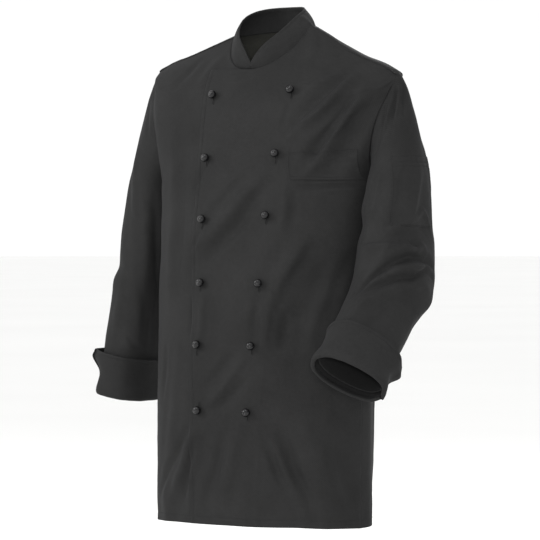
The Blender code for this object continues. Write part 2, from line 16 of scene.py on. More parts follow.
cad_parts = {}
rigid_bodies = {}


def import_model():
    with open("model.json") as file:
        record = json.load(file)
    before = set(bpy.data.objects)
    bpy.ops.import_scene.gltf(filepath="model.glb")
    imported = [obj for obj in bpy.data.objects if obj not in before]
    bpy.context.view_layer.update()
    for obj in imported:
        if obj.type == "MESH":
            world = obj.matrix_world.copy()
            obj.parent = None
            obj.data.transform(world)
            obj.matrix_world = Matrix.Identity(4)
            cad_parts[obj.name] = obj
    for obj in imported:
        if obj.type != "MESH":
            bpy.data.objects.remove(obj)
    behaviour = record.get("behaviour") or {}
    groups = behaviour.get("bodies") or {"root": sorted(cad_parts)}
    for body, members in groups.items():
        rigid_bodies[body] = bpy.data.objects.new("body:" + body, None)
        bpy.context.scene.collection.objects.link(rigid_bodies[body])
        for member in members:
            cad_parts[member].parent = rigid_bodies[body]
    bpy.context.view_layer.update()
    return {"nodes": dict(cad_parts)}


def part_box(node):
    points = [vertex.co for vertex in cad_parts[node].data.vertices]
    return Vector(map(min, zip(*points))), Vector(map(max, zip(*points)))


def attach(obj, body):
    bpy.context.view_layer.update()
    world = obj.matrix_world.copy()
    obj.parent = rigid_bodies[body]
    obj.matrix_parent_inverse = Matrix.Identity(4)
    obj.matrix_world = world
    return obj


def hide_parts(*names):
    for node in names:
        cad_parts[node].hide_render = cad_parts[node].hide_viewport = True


for start_object in list(bpy.data.objects):
    bpy.data.objects.remove(start_object)
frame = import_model()

# ------------------------------------------------------------------ back
# One piece of twill from the collar to the hem, joined to the fronts at the shoulders and sides.
# It hangs from the shoulder blades in long soft folds, and its hem is turned up 12 mm.

MM = 0.001

# The whole jacket is cut from one black polyester-cotton twill of about 220 g/m2. It is washed and
# pressed, so it is matt with a faint sheen, and its ribs run up to the right at 45 degrees.
RIB_SPACING = 2.2 * MM  # the real ribs are 0.5 mm apart, which is too fine to show
THREAD_SPACING = 1.2 * MM  # the real yarns are 0.25 mm apart, which is too fine to show
SLUBS_PER_METRE = 150  # thick places in the yarn, about 7 mm long
WASH_MARKS_PER_METRE = 11  # slow changes of shade from washing, about 90 mm across
WAVE_PERIOD = 0.444  # how far apart the wave texture's diagonal bands are at a scale of 1
RIB_RELIEF = 0.5 * MM


def colour_of(code):
    """An sRGB hex colour as linear red, green, blue and alpha."""
    parts = [int(code[i : i + 2], 16) / 255 for i in (1, 3, 5)]
    return (*(p / 12.92 if p <= 0.04045 else ((p + 0.055) / 1.055) ** 2.4 for p in parts), 1)


def add_node(tree, kind, settings=(), inputs=(), links=()):
    """A node of this kind. inputs and links are keyed by the socket's name or number, and each
    link is (output socket, key)."""
    node = tree.nodes.new("ShaderNode" + kind)
    for name, value in dict(settings).items():
        setattr(node, name, value)
    for key, value in dict(inputs).items():
        node.inputs[key].default_value = value
    for socket, key in links:
        tree.links.new(socket, node.inputs[key])
    return node


def twill(name, dark, light, rib_depth):
    """Woven twill: fine diagonal ribs, slubs in the yarn, and a slow change of shade."""
    material = bpy.data.materials.new(name)
    material.use_nodes = True
    tree = material.node_tree
    shader = tree.nodes["Principled BSDF"]
    place = add_node(tree, "TexCoord")
    flat, solid = place.outputs["UV"], place.outputs["Object"]
    ribs = add_node(
        tree, "TexWave", {"wave_type": "BANDS", "bands_direction": "DIAGONAL"},
        {"Scale": WAVE_PERIOD / RIB_SPACING, "Distortion": 1.5, "Detail": 2.0, "Detail Scale": 2.0},
        [(flat, "Vector")],
    )
    threads = add_node(
        tree, "TexNoise", {}, {"Scale": 1 / THREAD_SPACING, "Detail": 2.0, "Roughness": 0.6},
        [(flat, "Vector")],
    )
    slubs = add_node(
        tree, "TexNoise", {}, {"Scale": SLUBS_PER_METRE, "Detail": 3.0, "Roughness": 0.65},
        [(flat, "Vector")],
    )
    wash = add_node(
        tree, "TexNoise", {}, {"Scale": WASH_MARKS_PER_METRE, "Detail": 4.0, "Roughness": 0.6},
        [(solid, "Vector")],
    )
    weave = add_node(
        tree, "Math", {"operation": "MULTIPLY_ADD"}, {1: 0.4},
        [(ribs.outputs["Fac"], 0), (threads.outputs["Fac"], 2)],
    )
    shade = add_node(
        tree, "Math", {"operation": "MULTIPLY_ADD"}, {1: 0.6},
        [(slubs.outputs["Fac"], 0), (wash.outputs["Fac"], 2)],
    )
    worn = add_node(
        tree, "MapRange", {}, {"From Min": 0.55, "From Max": 1.05}, [(shade.outputs[0], "Value")]
    )
    colours = add_node(
        tree, "Mix", {"data_type": "RGBA"}, {6: colour_of(dark), 7: colour_of(light)},
        [(worn.outputs[0], 0)],
    )
    speckle = add_node(
        tree, "MapRange", {}, {"From Min": 0.35, "From Max": 1.05, "To Min": 0.78, "To Max": 1.22},
        [(weave.outputs[0], "Value")],
    )
    tinted = add_node(
        tree, "Mix", {"data_type": "RGBA", "blend_type": "MULTIPLY"}, {0: 1.0},
        [(colours.outputs[2], 6), (speckle.outputs[0], 7)],
    )
    relief = add_node(
        tree, "Bump", {}, {"Strength": rib_depth, "Distance": RIB_RELIEF},
        [(weave.outputs[0], "Height")],
    )
    tree.links.new(tinted.outputs[2], shader.inputs["Base Color"])
    tree.links.new(relief.outputs[0], shader.inputs["Normal"])
    shader.inputs["Roughness"].default_value = 0.72
    shader.inputs["Specular IOR Level"].default_value = 0.06
    shader.inputs["Sheen Weight"].default_value = 0.04
    shader.inputs["Sheen Roughness"].default_value = 0.45
    shader.inputs["Sheen Tint"].default_value = colour_of("#8e8f93")
    return material


BLACK_TWILL = twill("black_twill", "#1e1e1e", "#252525", 0.30)
# the inside of the same cloth, warmer and with flatter ribs. It is paler than the face, a little as
# a reverse is and more as painted light, which brightens the shaded inside of the neck
TWILL_REVERSE_PAINTED_LIGHT = twill("black_twill_reverse_painted_light", "#353532", "#3f3f3b", 0.20)
# spun polyester thread, a shade lighter than the cloth because it stands up into the light
BLACK_THREAD = twill("black_sewing_thread", "#212121", "#292929", 0.15)


# A panel is cut flat and sewn into the form that its solid has. A form is rows of points on the
# outside of the solid's wall, and a cloth is a fine grid of points on the smooth surface there.
Cloth = namedtuple("Cloth", "points normals across up closed")


def walk_rim(first, second, last):
    """The points along the open edge from first, by way of second, to last."""
    path = [first, second]
    while path[-1] is not last:
        edges = [edge for edge in path[-1].link_edges if edge.is_boundary]
        others = [edge.other_vert(path[-1]) for edge in edges]
        path.append(next(other for other in others if other is not path[-2]))
    return path


def form_of(node, rim_width, start, end, closed=False):
    """Rows of points on the outside of a node's wall, whose rim has edges under rim_width. The
    first row runs along the rim from by start to by end. On a tube it begins by start and heads
    for end, and its last point is its first."""
    bm = bmesh.new()
    bm.from_mesh(frame["nodes"][node].data)
    bmesh.ops.remove_doubles(bm, verts=bm.verts, dist=0.02 * MM)
    thin = [f for f in bm.faces if min(e.calc_length() for e in f.edges) < rim_width]
    bmesh.ops.delete(bm, geom=thin, context="FACES")
    loose = set(bm.faces)
    sides = []
    while loose:
        side = [loose.pop()]
        for face in side:
            near = {f for edge in face.edges for f in edge.link_faces} & loose
            side.extend(near)
            loose -= near
        sides.append(side)
    sides.sort(key=lambda side: sum(face.calc_area() for face in side))
    bmesh.ops.delete(bm, geom=[face for side in sides[:-1] for face in side], context="FACES")
    rim = [vert for vert in bm.verts if vert.is_boundary]
    first, last = (
        min(rim, key=lambda vert: (vert.co - Vector(place)).length) for place in (start, end)
    )
    nexts = [e.other_vert(first) for e in first.link_edges if e.is_boundary]
    if closed:
        row = walk_rim(first, min(nexts, key=lambda vert: (vert.co - Vector(end)).length), first)
    else:
        row = min((walk_rim(first, second, last) for second in nexts), key=len)
    steps = {vert: 0 for vert in row}
    waiting = deque(row)
    while waiting:
        vert = waiting.popleft()
        for other in (edge.other_vert(vert) for edge in vert.link_edges):
            if other not in steps:
                steps[other] = steps[vert] + 1
                waiting.append(other)
    rows = []
    while row:
        rows.append([vert.co.copy() for vert in row])
        level = len(rows)
        ahead = [
            edge for edge in row[0].link_edges if steps[edge.other_vert(row[0])] == level
        ]
        if not ahead:
            break
        ahead.sort(key=lambda edge: (not edge.is_boundary, edge.calc_length()))
        vert = ahead[0].other_vert(row[0])
        towards, new_row = row[1].co, [vert]
        count = len(row) - closed
        while len(new_row) < count:
            near = [e.other_vert(new_row[-1]) for e in new_row[-1].link_edges]
            near = [v for v in near if steps[v] == level and v not in new_row]
            new_row.append(min(near, key=lambda v: (v.co - towards).length))
            towards = row[min(len(new_row), len(row) - 1)].co
        row = new_row + new_row[:1] if closed else new_row
    bm.free()
    return np.array(rows)


def flowing(points, count, closed):
    """count evenly spread points on smooth curves through these, along the first axis."""
    if closed:
        points = np.concatenate([points[-3:-1], points, points[1:3]])
    gaps = np.linalg.norm(np.diff(points, axis=0), axis=2).mean(axis=1)
    at = np.concatenate([[0], np.cumsum(gaps)])
    slopes = np.gradient(points, at, axis=0)
    wanted = np.linspace(at[2], at[-3], count) if closed else np.linspace(0, at[-1], count)
    i = np.clip(np.searchsorted(at, wanted, side="right") - 1, 0, len(at) - 2)
    gap = (at[i + 1] - at[i])[:, None, None]
    t = (wanted - at[i])[:, None, None] / gap
    return (
        (1 + 2 * t) * (1 - t) ** 2 * points[i]
        + t * (1 - t) ** 2 * gap * slopes[i]
        + t * t * (3 - 2 * t) * points[i + 1]
        + t * t * (t - 1) * gap * slopes[i + 1]
    )


def normals_of(points, closed):
    """Which way is out at each point: columns crossed with rows."""
    along_row, along_column = np.gradient(points, axis=1), np.gradient(points, axis=0)
    if closed:
        along_row[:, 0] = along_row[:, -1] = points[:, 1] - points[:, -2]
    out = np.cross(along_row, along_column)
    return out / np.maximum(np.linalg.norm(out, axis=2, keepdims=True), 1e-12)


def lengths_along(points, axis):
    """How far each point is along the cloth from the first of its row (axis 1) or column (0)."""
    gaps = np.linalg.norm(np.diff(points, axis=axis), axis=2)
    return np.insert(np.cumsum(gaps, axis=axis), 0, 0, axis=axis)


def cloth_on(form, spacing, closed=False, centred=False):
    """The fine grid on a form. across is metres from the first column, or from the middle of the
    body where centred, and up is the height there, or else metres from the first row."""
    width = lengths_along(form, 1)[:, -1].mean()
    length = lengths_along(form, 0)[-1].mean()
    points = flowing(form, round(length / spacing) + 1, False)
    points = flowing(points.swapaxes(0, 1), round(width / spacing) + 1, closed).swapaxes(0, 1)
    across, up = lengths_along(points, 1), lengths_along(points, 0)
    if centred:
        up = points[..., 2]
        middle = np.abs(points[..., 0]).argmin(axis=1)[:, None]
        sign = np.sign(points[0, -1, 0] - points[0, 0, 0])
        across = sign * (across - np.take_along_axis(across, middle, 1))
        across += np.take_along_axis(points[..., 0], middle, 1)
    return Cloth(points, normals_of(points, closed), across, up, closed)


# The cloth has been folded, worn and hung, so soft creases run from where it is held: the collar,
# the shoulders, the buttons, the armholes and the elbow. Each is a ridge or a hollow, in mm:
# from (across, up) to (across, up), bowed sideways, this wide, wider on its right by lean, so high.
Crease = namedtuple("Crease", "across1 up1 across2 up2 bow width lean height")


def wander(points, size, seed):
    """A slow change between about -1 and 1 over the cloth, with humps of this size in metres."""
    flat = (points / size).reshape(-1, 3)
    shift = Vector((seed, 2.3 * seed, -1.7 * seed))
    return np.array([noise.noise(Vector(p) + shift) for p in flat]).reshape(points.shape[:2])


def creased(cloth, creases, seed, waver=5 * MM):
    """How far the creases raise each point of the cloth."""
    across = cloth.across + waver * wander(cloth.points, 0.055, seed)
    up = cloth.up + waver * wander(cloth.points, 0.055, seed + 7)
    around = lengths_along(cloth.points, 1)[:, -1:]
    raised = np.zeros(across.shape)
    for crease in (Crease(*row) for row in creases):
        start = np.array([crease.across1, crease.up1]) * MM
        run = np.array([crease.across2, crease.up2]) * MM - start
        length = np.hypot(*run)
        run = run / length
        right = across - start[0]
        if cloth.closed:
            right = (right + around / 2) % around - around / 2
        t = (right * run[0] + (up - start[1]) * run[1]) / length
        aside = (up - start[1]) * run[0] - right * run[1]
        aside = aside - crease.bow * MM * 4 * t * (1 - t)
        wide = crease.width * MM * np.where(aside < 0, crease.lean, 1)
        q = (aside / wide) ** 2
        fade = np.sin(pi * np.clip(t, 0, 1)) ** 0.8
        raised += crease.height * MM * fade * (1 - 0.55 * q) * np.exp(-0.8 * q)
    return raised


def edge_distance(cloth, side):
    """How far each point is from the cloth's first or last column or row."""
    lengths = lengths_along(cloth.points, 1 if side in ("left", "right") else 0)
    if side == "right":
        return lengths[:, -1:] - lengths
    if side == "top":
        return lengths[-1:] - lengths
    return lengths


def ease(value, low, high):
    """0 below low, 1 above high, and smooth between."""
    t = np.clip((value - low) / (high - low), 0, 1)
    return t * t * (3 - 2 * t)


GROOVE_REACH, PUCKER_REACH, PUCKER_HEIGHT = 1.6 * MM, 9 * MM, 0.35 * MM


def sewn(cloth, side, inset, seed, depth=0.5 * MM):
    """The groove that a line of stitches pulls in the cloth, with small puckers beside it."""
    away = edge_distance(cloth, side) - inset
    groove = -depth * np.exp(-((away / GROOVE_REACH) ** 2))
    ripple = wander(cloth.points, 0.011, seed) * np.exp(-((away / PUCKER_REACH) ** 2))
    return groove * (1 + 0.35 * wander(cloth.points, 0.02, seed + 3)) + PUCKER_HEIGHT * ripple


def lifted(cloth, height):
    """The cloth with each point moved out by height."""
    points = cloth.points + cloth.normals * height[..., None]
    if cloth.closed:
        points[:, -1] = points[:, 0]
    return cloth._replace(points=points, normals=normals_of(points, cloth.closed))


def allowance(cloth, side, reach=4.5 * MM, depth=1.4 * MM):
    """The cloth with a strip beyond one side: its seam allowance, which goes in under the piece
    that it is sewn to, so that no gap shows at the seam."""
    axis = 0 if side in ("bottom", "top") else 1
    at_start = side in ("bottom", "left")
    edge, within = (0, 3) if at_start else (-1, -4)
    rim = cloth.points.take(edge, axis)
    run = rim - cloth.points.take(within, axis)
    run /= np.linalg.norm(run, axis=1, keepdims=True)
    strip = np.expand_dims(rim + run * reach - cloth.normals.take(edge, axis) * depth, axis)
    parts = (strip, cloth.points) if at_start else (cloth.points, strip)
    return cloth._replace(points=np.concatenate(parts, axis))


# The pieces are sewn with black thread at about 3 stitches to the centimetre, and each stands a
# little proud of the cloth.
STITCH_PITCH, STITCH_LENGTH, STITCH_WIDTH = 3.0 * MM, 2.2 * MM, 0.75 * MM
STITCH_LIFT = 0.2 * MM


def piece_of(name, bm, *materials):
    """The shape as a smooth piece in these materials."""
    piece = bpy.data.objects.new(name, bpy.data.meshes.new(name))
    bpy.context.collection.objects.link(piece)
    bm.to_mesh(piece.data)
    bm.free()
    piece.data.shade_smooth()
    for material in materials:
        piece.data.materials.append(material)
    return piece


def sheet_piece(name, cloth, thickness, *materials):
    """A closed thin shell with the cloth as its outer face, and its flat size as its UV map. A
    second material is that of its inside."""
    rows, columns = cloth.points.shape[:2]
    bm = bmesh.new()
    flat = bm.loops.layers.uv.new("flat")
    bmesh.ops.create_grid(
        bm, x_segments=columns - 1, y_segments=rows - 1, size=0.5, calc_uvs=True
    )
    width = lengths_along(cloth.points, 1)[:, -1].mean()
    length = lengths_along(cloth.points, 0)[-1].mean()
    for face in bm.faces:
        for loop in face.loops:
            at = loop[flat].uv
            loop[flat].uv = (at.x * width, at.y * length)
    for vert in bm.verts:
        column = round((vert.co.x + 0.5) * (columns - 1))
        row = round((vert.co.y + 0.5) * (rows - 1))
        vert.co = cloth.points[row, column]
    if cloth.closed:
        bmesh.ops.remove_doubles(bm, verts=bm.verts, dist=1e-6)
    piece = piece_of(name, bm, *materials)
    wall = piece.modifiers.new("thickness", "SOLIDIFY")
    wall.thickness, wall.offset = thickness, -1
    wall.material_offset = len(materials) - 1
    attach(piece, "root")
    return piece


def line_inside(cloth, side, inset):
    """Points and normals along a side of the cloth, this far in from it."""
    if side in ("left", "right"):
        turned = cloth
    else:
        turned = Cloth(*(a.swapaxes(0, 1) for a in cloth[:4]), cloth.closed)
    lengths = lengths_along(turned.points, 1)
    place = lengths[:, -1] - inset if side in ("right", "top") else np.full(len(lengths), inset)
    found = []
    for row in range(len(lengths)):
        found.append([
            [np.interp(place[row], lengths[row], values[row, :, axis]) for axis in range(3)]
            for values in (turned.points, turned.normals)
        ])
    return np.array(found)


def stitches(name, line):
    """A row of stitches along a line of (point, normal), as one joined piece."""
    at = np.concatenate([[0], np.cumsum(np.linalg.norm(np.diff(line[:, 0], axis=0), axis=1))])
    bm = bmesh.new()
    for place in np.arange(STITCH_PITCH, at[-1] - STITCH_PITCH / 2, STITCH_PITCH):
        point, behind, ahead = (
            Vector([np.interp(place + step, at, line[:, 0, axis]) for axis in range(3)])
            for step in (0, -MM, MM)
        )
        out = Vector([np.interp(place, at, line[:, 1, axis]) for axis in range(3)])
        along = (ahead - behind).normalized()
        side = out.cross(along).normalized()
        out = along.cross(side)
        axes = Matrix((side, out, along)).transposed().to_4x4()
        size = Matrix.Diagonal((STITCH_WIDTH, STITCH_WIDTH * 0.8, STITCH_LENGTH, 1))
        bmesh.ops.create_uvsphere(
            bm, u_segments=6, v_segments=4, radius=0.5,
            matrix=Matrix.Translation(point + out * STITCH_LIFT) @ axes @ size,
        )
    piece = piece_of(name, bm, BLACK_THREAD)
    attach(piece, "root")
    return piece


HEM_TURN = 12 * MM
SEAM_INSET = 1 * MM  # a plain seam's groove runs just inside the edge
BACK_GRID, BODY_RIM, BODY_WALL = 3.3 * MM, 2.4 * MM, 1.2 * MM
BODY_CREASE_DEPTH = 1.7  # how much deeper the creases of the back and fronts are than listed
BACK_FADE = 22 * MM  # the creases die out over this much of the cloth beside a seam
HEM_LEFT, HEM_RIGHT = (0.18, -0.02, -0.8), (-0.18, -0.02, -0.8)  # where the side seams end
BACK_CREASES = (
    # from the collar's seam down between the shoulder blades
    (-46, -22, -95, -180, 8, 14, 1.3, 2.6),
    (20, -30, 52, -215, -9, 17, 0.8, 2.4),
    (78, -32, 128, -150, -7, 13, 1.2, 2.0),
    # across the shoulder blades from armhole to armhole
    (-205, -130, -60, -176, -13, 19, 1.4, 3.2),
    (-190, -196, -88, -232, -8, 15, 0.8, 2.6),
    (206, -128, 74, -190, 12, 18, 1.2, 3.0),
    (186, -214, 105, -262, 6, 14, 1.1, 2.2),
    # long folds down to the hem
    (-118, -262, -142, -560, 12, 24, 0.8, 4.2),
    (-58, -330, -76, -700, -9, 22, 1.3, 3.6),
    (6, -250, 24, -520, 9, 20, 0.9, 3.2),
    (52, -420, 70, -790, -9, 25, 1.2, 4.2),
    (122, -300, 134, -640, 11, 21, 0.8, 4.0),
    (178, -420, 168, -760, -7, 19, 1.2, 3.0),
    (-180, -470, -172, -780, 8, 20, 0.9, 3.2),
    (-14, -560, -30, -795, 5, 17, 1.2, 2.8),
    # short drags at the waist
    (-170, -372, -60, -420, -11, 13, 1.3, 2.2),
    (150, -398, 48, -436, 9, 12, 0.8, 2.0),
    (-20, -470, -110, -518, 7, 12, 1.2, 1.8),
)

back = cloth_on(form_of("back", BODY_RIM, HEM_LEFT, HEM_RIGHT), BACK_GRID, centred=True)
back_sides = np.minimum(edge_distance(back, "left"), edge_distance(back, "right"))
back_inner = ease(np.minimum(back_sides, edge_distance(back, "top")), 0, BACK_FADE)
back = lifted(
    back,
    BODY_CREASE_DEPTH * creased(back, BACK_CREASES, 3) * back_inner
    + 1.0 * MM * wander(back.points, 0.05, 11) * back_inner
    + 0.35 * MM * wander(back.points, 0.017, 12) * back_inner
    + sewn(back, "bottom", HEM_TURN, 13)
    + sewn(back, "left", SEAM_INSET, 14) + sewn(back, "right", SEAM_INSET, 15)
    + sewn(back, "top", SEAM_INSET, 16),
)
under_fronts = allowance(allowance(back, "left"), "right")
back_piece = sheet_piece("cloth_back", under_fronts, BODY_WALL, BLACK_TWILL, TWILL_REVERSE_PAINTED_LIGHT)
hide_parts("back")
stitches("stitches_back_hem", line_inside(back, "bottom", HEM_TURN))

# ------------------------------------------------------------------ fronts
# Two wide panels of the twill that lap over each other, the wearer's left on top. Each has its free
# edge turned under and top-stitched, and the lap is held by the two rows of studs.

EDGE_TURN = 6 * MM
FRONT_GRID, FRONT_FADE = 3.0 * MM, 18 * MM
FRONT_CREASES = (
    # long creases from the left armhole down to the studs, and the hollows beside them
    (89, -184, 191, -72, 3, 7, 1.5, 5.4),
    (117, -246, 207, -89, -4, 8, 1.4, 4.4),
    (118, -219, 202, -103, 2, 11, 1, -3.6),
    (152, -241, 226, -115, -3, 15, 1.2, -4.4),
    (94, -116, 170, -68, 4, 7.5, 1.2, 2.2),
    (89, -154, 169, -84, 3, 9, 1, -1.8),
    (131, 2, 94, -69, 2, 8, 1.2, 1.5),
    (108, -10, 74, -72, -2, 7, 1, -1),
    # soft folds across the middle to the right row of studs
    (62, -224, -69, -359, 6, 11, 1.4, 4.2),
    (57, -260, -56, -383, 4, 12, 1, -2.8),
    (32, -228, -60, -320, 3, 10, 1, -1.6),
    # the slack below the chest pocket, pushed in by the bent left arm
    (142, -328, 79, -456, -6, 12, 1.6, 4.6),
    (182, -369, 116, -516, -5, 22, 1, -5.2),
    (214, -355, 159, -515, -5, 16, 1, -3.2),
    # drags between the lower studs
    (42, -524, -35, -611, 4, 9, 1.3, 3.2),
    (24, -512, -41, -581, 3, 9, 1, -2),
    (55, -551, -16, -614, 3, 8.5, 1, -2.4),
    # the fan of folds to the hem
    (-45, -632, -120, -772, 3, 9, 1.3, 3.4),
    (-64, -635, -155, -755, 2, 9, 1, -2.2),
    (-38, -641, -72, -787, -2, 8, 1.2, 2.4),
    (-41, -659, -97, -778, 2, 7, 1, -2.2),
    (32, -623, 1, -766, 3, 12, 1.2, 2.8),
    (11, -632, -32, -778, 2, 11, 1, -2.6),
    (97, -626, 172, -789, -5, 13, 1, -5.4),
    (131, -611, 224, -785, -4, 20, 1.1, 3.8),
    (78, -653, 120, -743, -2, 8, 1, -2.8),
    (90, -641, 139, -761, -2, 7, 1.2, 2.2),
    # short folds beside the studs and the free edge
    (-66, -425, -69, -497, 1, 6, 1, -1.8),
    (-42, -417, -46, -503, 1, 7, 1.2, 2.2),
    (82, -417, 69, -533, 2, 9, 1.2, 2.4),
    (110, -447, 100, -524, 2, 12, 1, -3.2),
    (63, -422, 53, -497, 1, 8, 1, -1.4),
    (47, -95, 114, -91, -1, 4.5, 1, 1.2),
    (93, -255, 94, -327, 1, 7, 1.2, 1.8),
    (112, -255, 107, -333, -1, 9, 1, -1.6),
    (-66, -214, -77, -258, 1, 5, 1, -1.4),
    (-54, -318, -71, -357, 1, 5, 1, -1.6),
    (79, -113, 77, -165, 1, 6, 1, -1.4),
    (182, -626, 233, -760, 2, 14, 1, -1.8),
    (157, -166, 216, -107, 2, 9, 1.2, 1.4),
    # the mouth of the chest pocket, which gapes a little
    (101, -253, 232, -256, 0, 3.5, 1, -2.4),
    (103, -259, 226, -262, 0, 4, 1, 0.8),
    # long quiet folds down the right side
    (-39, -81, 17, -67, 1, 6, 1, 1.4),
    (-146, -142, -128, -485, 5, 15, 1.2, 1.8),
    (-112, -194, -97, -437, -4, 13, 1, -1.6),
    (-94, -485, -119, -710, 4, 14, 1.2, 1.8),
    (-134, -503, -148, -599, 2, 9, 1, -1.6),
    (-101, -39, -106, -111, 4, 12, 1.2, 1.6),
    (-149, -40, -165, -104, 3, 11, 1, -1.3),
)
NECK_RISE, NECK_RISE_REACH = 0.4 * MM, 5 * MM  # the seam's layers lift the cloth by the collar
# the right front's free edge, hidden under the left, shows as a soft ridge down it
HIDDEN_EDGE = ((91, -211), (94, -249), (86, -390), (79, -507), (66, -618), (67, -793))
HIDDEN_RIDGE, HIDDEN_RIDGE_REACH = 0.7 * MM, 2.6 * MM
RIDGE_STARTS = -130 * MM, -200 * MM  # it comes up between these heights

fronts, front_bases = {}, {}
for side, start, end in (
    ("right", HEM_RIGHT, (0.06, -0.16, -0.8)),
    ("left", (-0.06, -0.16, -0.8), HEM_LEFT),
):
    front = cloth_on(form_of(f"{side}_front", BODY_RIM, start, end), FRONT_GRID, centred=True)
    sewn_side, free_side = ("left", "right") if side == "right" else ("right", "left")
    from_seams = np.minimum(edge_distance(front, sewn_side), edge_distance(front, "top"))
    inner = ease(from_seams, 0, FRONT_FADE)
    height = (
        BODY_CREASE_DEPTH * creased(front, FRONT_CREASES, 5)
        + 0.9 * MM * wander(front.points, 0.05, 21)
        + 0.3 * MM * wander(front.points, 0.017, 22)
    ) * inner
    height += sewn(front, "bottom", HEM_TURN, 23) + sewn(front, free_side, EDGE_TURN, 24)
    height += sewn(front, sewn_side, SEAM_INSET, 25, depth=0.2 * MM)
    height += NECK_RISE * np.exp(-((edge_distance(front, "top") / NECK_RISE_REACH) ** 2))
    if side == "left":
        edge_across, edge_up = np.array(HIDDEN_EDGE).T * MM
        from_edge = front.across - np.interp(front.up, edge_up[::-1], edge_across[::-1])
        below = ease(front.up, *RIDGE_STARTS)
        height += HIDDEN_RIDGE * np.exp(-((from_edge / HIDDEN_RIDGE_REACH) ** 2)) * below
    front_bases[side], fronts[side] = front, lifted(front, height)
    piece = sheet_piece(
        f"cloth_{side}_front", fronts[side], BODY_WALL, BLACK_TWILL, TWILL_REVERSE_PAINTED_LIGHT
    )
    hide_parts(f"{side}_front")
    stitches(f"stitches_{side}_front_hem", line_inside(fronts[side], "bottom", HEM_TURN))
    stitches(f"stitches_{side}_front_edge", line_inside(fronts[side], free_side, EDGE_TURN))

# ------------------------------------------------------------------ sleeves
# Set-in sleeves, each one tube of twill sewn round the armhole. The wearer's right hangs almost
# straight, and the left is bent at the elbow, where the cloth bunches into the crook.

SLEEVE_GRID, SLEEVE_RIM, SLEEVE_WALL = 3.0 * MM, 1.95 * MM, 1.2 * MM
SLEEVE_CREASE_DEPTH, ELBOW_DEPTH = 1.3, 1.35  # how much deeper the folds are than listed
SLEEVE_FADE = 15 * MM
CUFF_FADE = 60 * MM, 85 * MM  # the creases die out between these, so the cuff lies flat outside
LEFT_SLEEVE_CREASES = (
    # gathers below the shoulder seam
    (9, 4, 46, 40, 1, 5, 1.2, 3.2),
    (17, 4, 54, 40, 1, 5, 1, -3.4),
    (31, 0, 89, 34, 2, 6, 1.3, 3.6),
    (49, 4, 101, 36, 2, 6, 1, -3.2),
    (2, 14, 26, 54, 0, 5, 1, -3),
    # wrinkles above the elbow
    (75, 199, -47, 253, 1, 5, 1.3, 3),
    (73, 214, -26, 269, -1, 5, 1, -2.2),
    (58, 225, 55, 255, 0, 5, 1, 1.8),
    (36, 241, 19, 276, 0, 5, 1, -2),
    (16, 261, -9, 301, 0, 6, 1, 1.8),
    # soft folds along the upper arm and forearm
    (0, 150, 44, 223, 3, 14, 1.1, 3.2),
    (37, 125, 68, 200, 2, 12, 1, -2.8),
    (73, 74, 118, 174, 3, 9, 1.2, 2.2),
    (28, 346, 3, 400, 1, 7, 1, -1.8),
    (369, 337, 310, 442, 3, 12, 1.1, 2.4),
    (30, 352, 36, 421, -3, 16, 1, -2.2),
    (75, 311, 82, 346, 2, 10, 1, 1.8),
    (79, 216, 88, 238, 2, 9, 1, 1.6),
    # behind, where it can't be seen from the front
    (140, 60, 170, 190, 5, 12, 1.2, 2.4),
    (190, 90, 215, 230, -5, 13, 1, 2.6),
    (165, 215, 250, 262, 6, 10, 1.2, 2.8),
    (240, 150, 262, 300, 5, 14, 1, -2.2),
    (280, 60, 292, 180, -3, 10, 1.2, 2),
    (190, 300, 215, 420, 4, 13, 1, 2.4),
)
# the crook of the elbow, where the upper arm's cloth hangs over the forearm's: each is a width, a
# height and the points that it runs through
ELBOW_FOLDS = (
    (8, -8.5, (
        (88, 276), (86, 258), (79, 255), (70, 260), (51, 273), (30, 285), (-2, 310), (-38, 303),
    )),
    (9, 3.6, ((81, 270), (71, 272), (61, 278), (44, 291), (13, 314), (-25, 320))),
    (7, -5.5, ((87, 287), (78, 283), (64, 289), (46, 308), (23, 326), (-39, 325))),
    (10, 3.4, ((73, 309), (58, 311), (36, 336), (12, 351), (-31, 355))),
    (8, 2.6, ((101, 221), (83, 235), (61, 252), (27, 277), (-25, 292))),
)
RIGHT_SLEEVE_CREASES = (
    # the hollow beside the body, and the folds down the front
    (223, 55, 188, 310, 0, 9, 1, -3.4),
    (237, 87, 226, 244, 2, 9, 1.2, 2),
    (233, 233, 222, 315, 2, 9, 1.2, 2.2),
    (274, 123, 257, 314, 3, 14, 1, -1.2),
    (209, 306, 241, 323, 2, 6, 1, -1.6),
    (368, 22, 289, 29, 0, 8, 1, -1.6),
    (272, 68, 261, 151, 1, 10, 1.2, 1.8),
    (263, 273, 276, 357, 2, 10, 1, 1.8),
    (251, 352, 198, 291, 3, 7, 1.2, 1.8),
    # round the outside and the back
    (20, 60, 48, 210, 6, 14, 1.2, 2.6),
    (70, 110, 84, 300, -5, 13, 1, -2.2),
    (105, 70, 120, 240, 5, 12, 1.2, 2.4),
    (352, 90, 372, 260, -5, 13, 1, 2.2),
    (12, 260, 88, 312, 7, 11, 1.2, 2.4),
    (330, 240, 392, 296, 6, 10, 1, 2),
    (50, 330, 66, 440, 4, 12, 1, 2),
    (320, 330, 338, 430, -4, 11, 1.2, 1.8),
)

SLEEVE_END = 14 * MM  # how much of the sleeve's end is left out, because the cuff covers it


